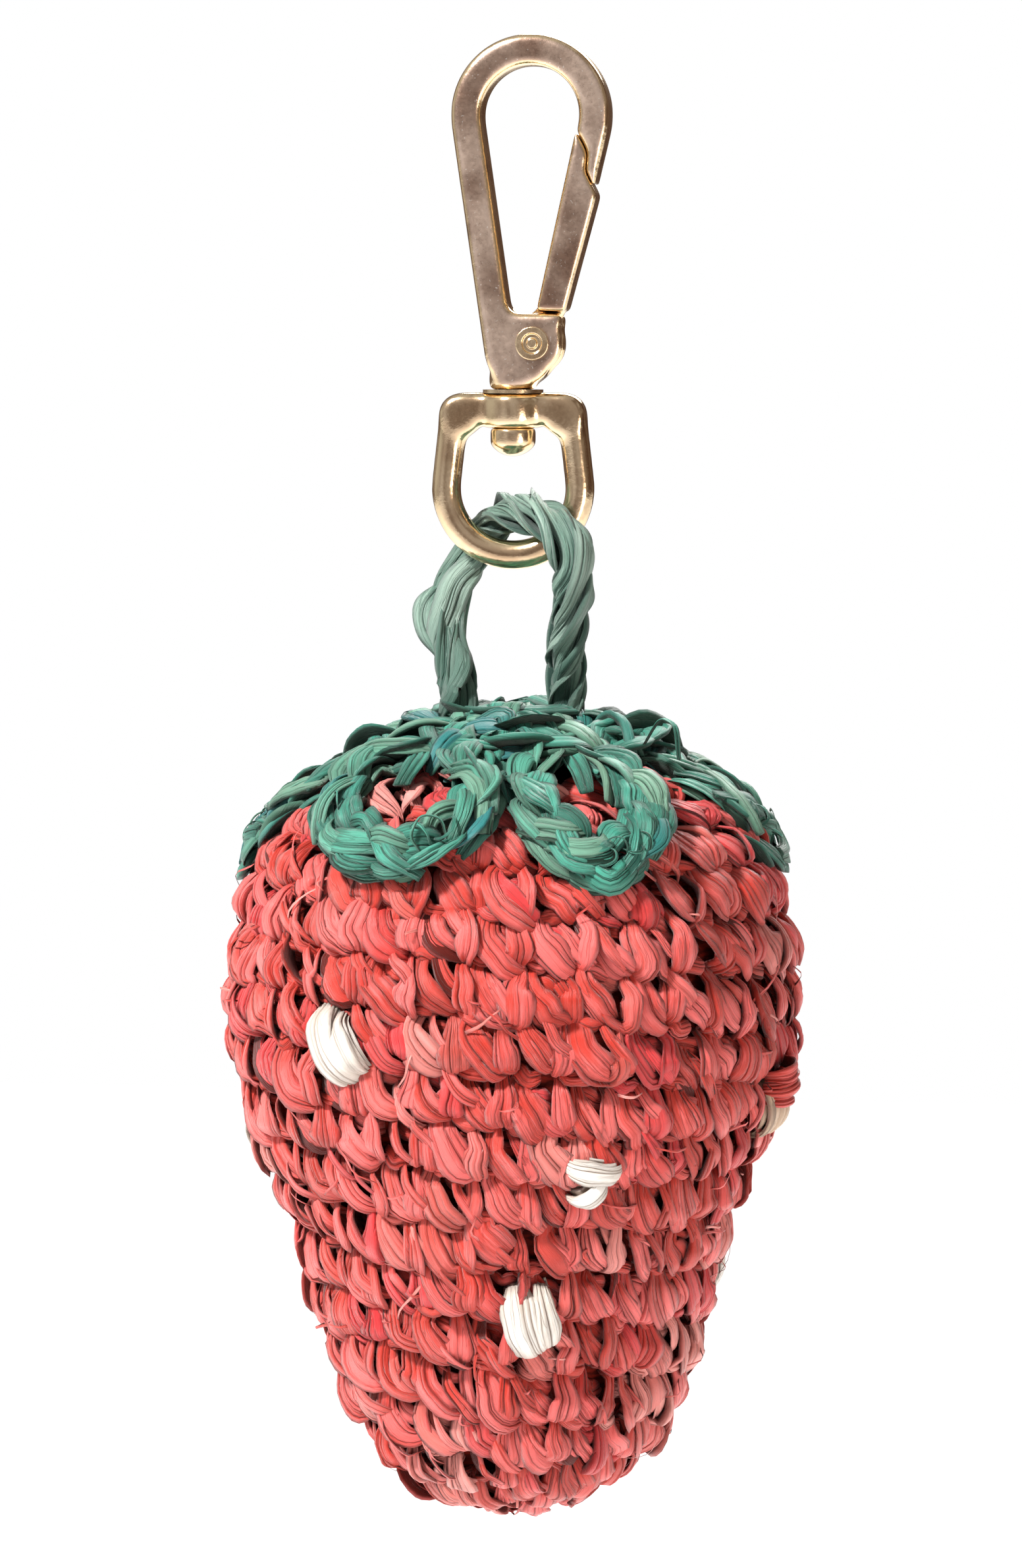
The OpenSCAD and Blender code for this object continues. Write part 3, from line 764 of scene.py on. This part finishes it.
# Knots of a chain stitch's ribbons: shares of its length along and of the braid's half width out, then height
# and width in mm.
CHAIN_RIBBON = np.array([
    (-0.35, 0.0, 0.1, 1.2), (0.05, 0.45, 1.1, 2.5), (0.5, 0.68, 1.6, 3.0),
    (1.0, 0.5, 1.25, 2.7), (1.4, 0.05, 0.1, 1.2),
])
CHAIN_UNDER = np.array([
    (-0.3, 1.0, -0.4, 1.4), (0.1, 0.95, 0.4, 2.4), (0.6, 0.9, 0.45, 2.4), (1.1, 0.75, -0.3, 1.4),
])


PLAN_STEPS = 24


def plan_line(points):
    """A smooth plan line through points, with its run and its normals."""
    knots = np.array(points, float)[None]
    line = smooth(knots, (knots.shape[1] - 1) * PLAN_STEPS + 1)[0]
    run = np.r_[0.0, np.cumsum(np.linalg.norm(np.diff(line, axis=0), axis=1))]
    along = unit(np.gradient(line, axis=0))
    return line, run, np.stack([along[:, 1], -along[:, 0]], axis=-1)


def read_off(at, run, values):
    """A line's plan places or normals at these distances along it."""
    return np.stack([np.interp(at, run, values[:, i]) for i in range(2)], axis=-1)


def braid(ribbons, turn, points, half_width, lift):
    """A chain-stitch braid along a plan line."""
    rng = ribbons.rng
    line, run, normal = plan_line(points)
    count = max(2, round(run[-1] / CHAIN_PITCH))
    pitch = run[-1] / count
    # Painted shade: the under ribbons of the chain get lower brightness than those on top.
    for knots, tone in ((CHAIN_UNDER, -0.2), (CHAIN_RIBBON, 0.03)):
        for side in (-1.0, 1.0):
            rows = np.broadcast_to(knots, (count, *knots.shape)).copy()
            rows[..., 0] += np.arange(count)[:, None] + 0.5 * (side > 0) + rng.normal(0, 0.14, (count, 1))
            rows[..., 1] += rng.normal(0, 0.2, (count, 1)) + rng.normal(0, 0.08, (count, len(knots)))
            rows[..., 2] += rng.normal(0, 0.25, (count, 1))
            rows[..., 3] *= rng.uniform(0.65, 1.2, (count, 1))
            at = np.clip(rows[..., 0] * pitch, 0, run[-1])
            out = read_off(at, run, normal) * (side * rows[..., 1] * half_width)[..., None]
            plan = read_off(at, run, line) + out
            lay_plan(ribbons, turn, plan, rows[..., 2] + lift, rows[..., 3],
                     roll=rng.normal(0, 0.4, count) - side * 0.2, creases=4, depth=0.13, arch=0.26,
                     hue=0.3 + rng.uniform(-0.32, 0.5, count), bright=tone, spread=0.16)


def loose(ribbons, points, height, width, hue, turn=0.0):
    """One flat ribbon on the calyx, tucked in at both ends."""
    plan = np.array(points, float)[None]
    along = np.linspace(0, 1, plan.shape[1])
    arch = np.sin(np.pi * np.clip(along, 0.06, 0.94)) ** 0.45
    h = (height * arch + 0.1)[None]
    widths = (width * (0.45 + 0.55 * np.sin(np.pi * np.clip(along, 0.05, 0.95)) ** 0.5))[None]
    lay_plan(ribbons, turn, plan, h, widths, samples=20, hue=hue, bright=0.05, creases=5, depth=0.13,
             arch=0.2, spread=0.06, roll=ribbons.rng.normal(0, 0.2, 1))


# Where a leaf's braid and its oval start, in mm from the crown's centre, and what is strewn over the braid.
STEM_START = 6.0
OVAL_START = 12.0
RIM_RIBBONS = 9
LEAF_HAIRS = 5


def leaf_line(reach, half, lean):
    """Plan of a leaf's looped braid: out from the crown, round an oval and back."""
    middle, tall = (reach + OVAL_START) / 2, (reach - OVAL_START) / 2
    angles = np.radians(np.linspace(25, 335, 11))
    oval = np.column_stack([-half * np.sin(angles), middle - tall * np.cos(angles)])
    line = np.concatenate([[(-1.2, STEM_START)], oval, [(1.2, STEM_START)]])
    line[:, 0] += lean * (line[:, 1] - STEM_START) / (reach - STEM_START)
    return line


def leaf_piece(number, reach, half, lean, thick, filling, lift):
    """A looped leaf with ribbons that fill its oval and others that wander along its rim."""
    ribbons = Ribbons(500 + number)
    rng = ribbons.rng
    turn = middle_of(f"leaf_{number}")[0]
    line = leaf_line(reach, half, lean)
    braid(ribbons, turn, line, thick, lift)
    rim, run, normal = plan_line(line)
    for _ in range(RIM_RIBBONS):
        at = rng.uniform(0.1, 0.8) * run[-1] + np.linspace(0, rng.uniform(5.0, 8.0), 4)
        across = rng.uniform(0.5, 1.5) * rng.choice((-1.0, 1.0))
        shift = thick * across * np.linspace(-1, 1, 4)[:, None]
        points = read_off(at, run, rim) + read_off(at, run, normal) * shift
        loose(ribbons, points, 2.0 + lift, rng.uniform(1.8, 2.8), rng.uniform(0, 0.9), turn)
    for share in rng.uniform(-0.6, 0.6, filling):
        end = rng.uniform(OVAL_START + 4.0, reach - 1.5)
        sway = rng.normal(0, 0.6, 4)
        down = np.linspace(STEM_START + 1.5, end, 4)
        right = share * half * np.array([0.45, 0.8, 1.0, 0.85]) + lean * (down - STEM_START) / reach + sway
        points = np.column_stack([right, down])
        loose(ribbons, points, 1.1 + lift, rng.uniform(1.9, 2.7), rng.uniform(0.2, 1.0), turn)
    for _ in range(LEAF_HAIRS):
        start = rim[rng.integers(len(rim) // 3, 2 * len(rim) // 3)]
        curl = np.linspace(0, rng.uniform(2.0, 4.5), 5) + rng.uniform(0, 6.28)
        hair = start + rng.uniform(0.8, 1.7) * np.column_stack([np.cos(curl), np.sin(curl)])
        loose(ribbons, hair, 2.6 + lift, 0.3, rng.uniform(0.2, 0.8), turn)
    add_to_berry(ribbons.piece(f"leaf_loop_{number}", GREEN), f"leaf_{number}")


# Each leaf's reach from the crown's centre, half width, lean of its tip and half the braid's width in mm,
# then its filling ribbons and its lift in mm.
LEAVES = (
    (27.0, 7.4, 2.6, 1.9, 2, 0.0), (27.2, 5.6, -2.2, 1.8, 4, 0.0), (28.4, 4.8, 0.0, 2.3, 1, -1.1),
    (27.0, 6.2, 1.0, 2.0, 2, -0.6), (27.0, 6.2, -1.0, 2.0, 1, -0.6), (28.6, 5.0, 0.0, 2.4, 1, -1.1),
)
for number, leaf in enumerate(LEAVES, start=1):
    leaf_piece(number, *leaf)


# Radius and lift of each ring of the crown's braid, and half the braid's width, in mm.
CROWN_RINGS = ((3.6, 1.4), (7.6, 1.2), (11.0, 0.4))
CROWN_BRAID = 2.0
CROWN_RIBBONS = 60
# The thin strand that curls up from the calyx on the right: its plan and its rise in mm.
CURL = ((12.8, 6.5), (13.6, 6.8), (14.8, 7.4), (16.2, 8.4))
CURL_RISE = 5.6


def crown_ribbons():
    """The calyx's centre: rings of braid with loose ribbons running out between the leaves."""
    ribbons = Ribbons(600)
    rng = ribbons.rng
    for radius, lift in CROWN_RINGS:
        angles = np.linspace(0, 2 * np.pi, 13)
        ring = np.stack([radius * np.sin(angles), radius * np.cos(angles)], axis=-1)
        ring *= 1 + rng.normal(0, 0.04, (13, 1))
        braid(ribbons, 0.0, ring, CROWN_BRAID, lift)
    count = CROWN_RIBBONS
    turn = np.linspace(0, 2 * np.pi, count, endpoint=False) + rng.normal(0, 0.1, count)
    start = rng.uniform(3.0, 9.0, count)
    reach = rng.uniform(4.5, 8.5, count)
    bend = rng.normal(0, 0.4, count)
    t = np.array([0.0, 0.25, 0.5, 0.75, 1.0])[None]
    s = start[:, None] + reach[:, None] * t
    theta = turn[:, None] + bend[:, None] * t
    h = np.array([0.2, 1.9, 2.5, 1.8, 0.0])[None] + rng.normal(0, 0.3, (count, 1))
    width = np.array([1.2, 2.5, 3.2, 2.6, 1.2])[None] * rng.uniform(0.6, 1.15, (count, 1))
    lay(ribbons, theta, s, h, width, samples=14, creases=4, depth=0.13, arch=0.26,
        roll=rng.normal(0, 0.4, count), hue=rng.uniform(0.0, 0.85, count), spread=0.16)
    loose(ribbons, CURL, CURL_RISE, 0.9, 0.3)
    return ribbons


add_to_berry(crown_ribbons().piece("calyx_ribbons", GREEN), "calyx_crown")


# ---------------------------------------------------------------- hanging loop

LOOP_ROUTE = (
    (-7.4, 0, -54), (-7.7, 0.6, -52), (-8.3, 1.6, -49.2), (-8.6, 2.6, -46.6), (-8.3, 3.5, -44.2),
    (-7.4, 4, -42), (-6.1, 4.1, -39.9), (-4.6, 3.5, -38.2), (-2.9, 2.1, -37.1), (-1.1, 0.2, -36.7),
    (0.8, -1.8, -37), (2.4, -3.6, -38), (3.7, -4.4, -39.8), (4.3, -4.1, -42), (4.1, -3.2, -44.4),
    (3.7, -2.1, -47), (3.4, -1.1, -49.6), (3.1, -0.3, -52), (3, 0, -54),
)
# How far the strap's ends go on into the berry, in mm, and how many ribbons it is twisted from.
LOOP_TUCK = 2.6
LOOP_STRANDS = 6
# Flat folds that stand out sideways from the strap: place along it in mm, -1 for left or 1 for right, and
# rise in mm.
LOOP_FOLDS = ((9.4, -1.0, 1.2), (33.5, 1.0, 0.5), (38.5, 1.0, 0.2))
FOLD_REACH = 4.2


def strap():
    """The raffia strap: a bundle of creased ribbons twisted along its route."""
    ribbons = Ribbons(700)
    route = smooth(np.array(LOOP_ROUTE, float)[None], 217)[0]
    steps = np.linalg.norm(np.diff(route, axis=0), axis=1)
    run = np.r_[0.0, np.cumsum(steps)]
    down = np.array([0.0, 0.0, -1.0])
    tail = np.linspace(0.4, LOOP_TUCK, 7)[:, None]
    line = np.concatenate([(route[0] + down * tail)[::-1], route, route[-1] + down * tail])
    along = unit(np.gradient(line, axis=0))
    across = unit(np.cross(along, np.array([0.3, 1.0, 0.0])))
    other = np.cross(along, across)
    length = np.r_[0.0, np.cumsum(np.linalg.norm(np.diff(line, axis=0), axis=1))]
    for k in range(LOOP_STRANDS):
        wind = 2 * np.pi * k / LOOP_STRANDS + length / 4.6
        wind = wind + 0.9 * np.sin(length / 5.2 + k) + 0.5 * np.sin(length / 2.1 + 2 * k)
        distance = 1.15 + 0.35 * np.sin(length / 2.7 + 1.7 * k) + (0.2 if k % 2 else 0.0)
        out = across * np.cos(wind)[:, None] + other * np.sin(wind)[:, None]
        points = line + out * distance[:, None]
        width = 2.7 + 0.8 * np.sin(length / 3.3 + 2.1 * k)
        ribbons.add(points[None], out[None], width[None], creases=5, depth=0.2, arch=0.32, spread=0.06,
                    roll=(0.45 * np.sin(length / 1.9 + 1.3 * k))[None], hue=0.1 + 0.13 * k, bright=-0.02)
    for place, direction, rise in LOOP_FOLDS:
        part = line[np.abs(length - place) < FOLD_REACH]
        bulge = np.sin(np.pi * np.linspace(0, 1, len(part)))
        points = part + np.outer(0.4 + rise * bulge ** 1.5, (direction, -0.3, 0.0))
        front = np.broadcast_to((0.0, -1.0, 0.0), part.shape)
        ribbons.add(points[None], front[None], (1.2 + 2.0 * bulge)[None], creases=4, depth=0.18, arch=0.35,
                    hue=0.35, spread=0.05)
    return ribbons, float(run[-1])


strap_ribbons, LOOP_LENGTH = strap()
strap_piece = strap_ribbons.piece("raffia_strap", PALE_GREEN)
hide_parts("hanging_loop")
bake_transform(strap_piece)

paint(nodes["loop_knot"], PALE_GREEN)
paint(nodes["berry_stuffing"], STUFFING)


# ---------------------------------------------------------------- brass

def cast(node, body, material, voxel, rounds, fuller):
    """A brass part with softly rounded cast edges, in place of its sharp CAD node."""
    source = nodes[node]
    copy = source.copy()
    copy.data = source.data.copy()
    copy.parent = None
    bpy.context.scene.collection.objects.link(copy)
    remesh = copy.modifiers.new("remesh", "REMESH")
    remesh.mode = "VOXEL"
    remesh.voxel_size = voxel * MM
    soften = copy.modifiers.new("soften", "SMOOTH")
    soften.factor = 0.5
    soften.iterations = rounds
    swell = copy.modifiers.new("swell", "DISPLACE")
    swell.mid_level = 0.0
    swell.strength = fuller * MM
    bpy.context.view_layer.update()
    graph = bpy.context.evaluated_depsgraph_get()
    mesh = bpy.data.meshes.new_from_object(copy.evaluated_get(graph))
    bpy.data.objects.remove(copy)
    mesh.name = f"{node}_cast"
    mesh.polygons.foreach_set("use_smooth", np.ones(len(mesh.polygons), bool))
    piece = bpy.data.objects.new(f"{node}_cast", mesh)
    bpy.context.scene.collection.objects.link(piece)
    paint(piece, material)
    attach(piece, body)
    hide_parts(node)
    return piece


for node, body, material, voxel, rounds, fuller, slot in (
    ("hook_body", "hook", CAST, 0.14, 110, 0.1, "cast_brass"),
    ("gate", "gate", CAST, 0.12, 80, 0.05, "cast_brass"),
    ("gate_rivet", "hook", BRIGHT, 0.06, 4, 0.0, "rivet_brass"),
    ("swivel_pin", "hook", POLISHED, 0.1, 50, 0.04, "polished_brass"),
    ("swivel_eye", "eye", POLISHED, 0.14, 190, 0.12, "polished_brass"),
):
    cast(node, body, material, voxel, rounds, fuller)
paint(nodes["gate_spring"], STEEL)
paint(nodes["swivel_washer"], BRIGHT)
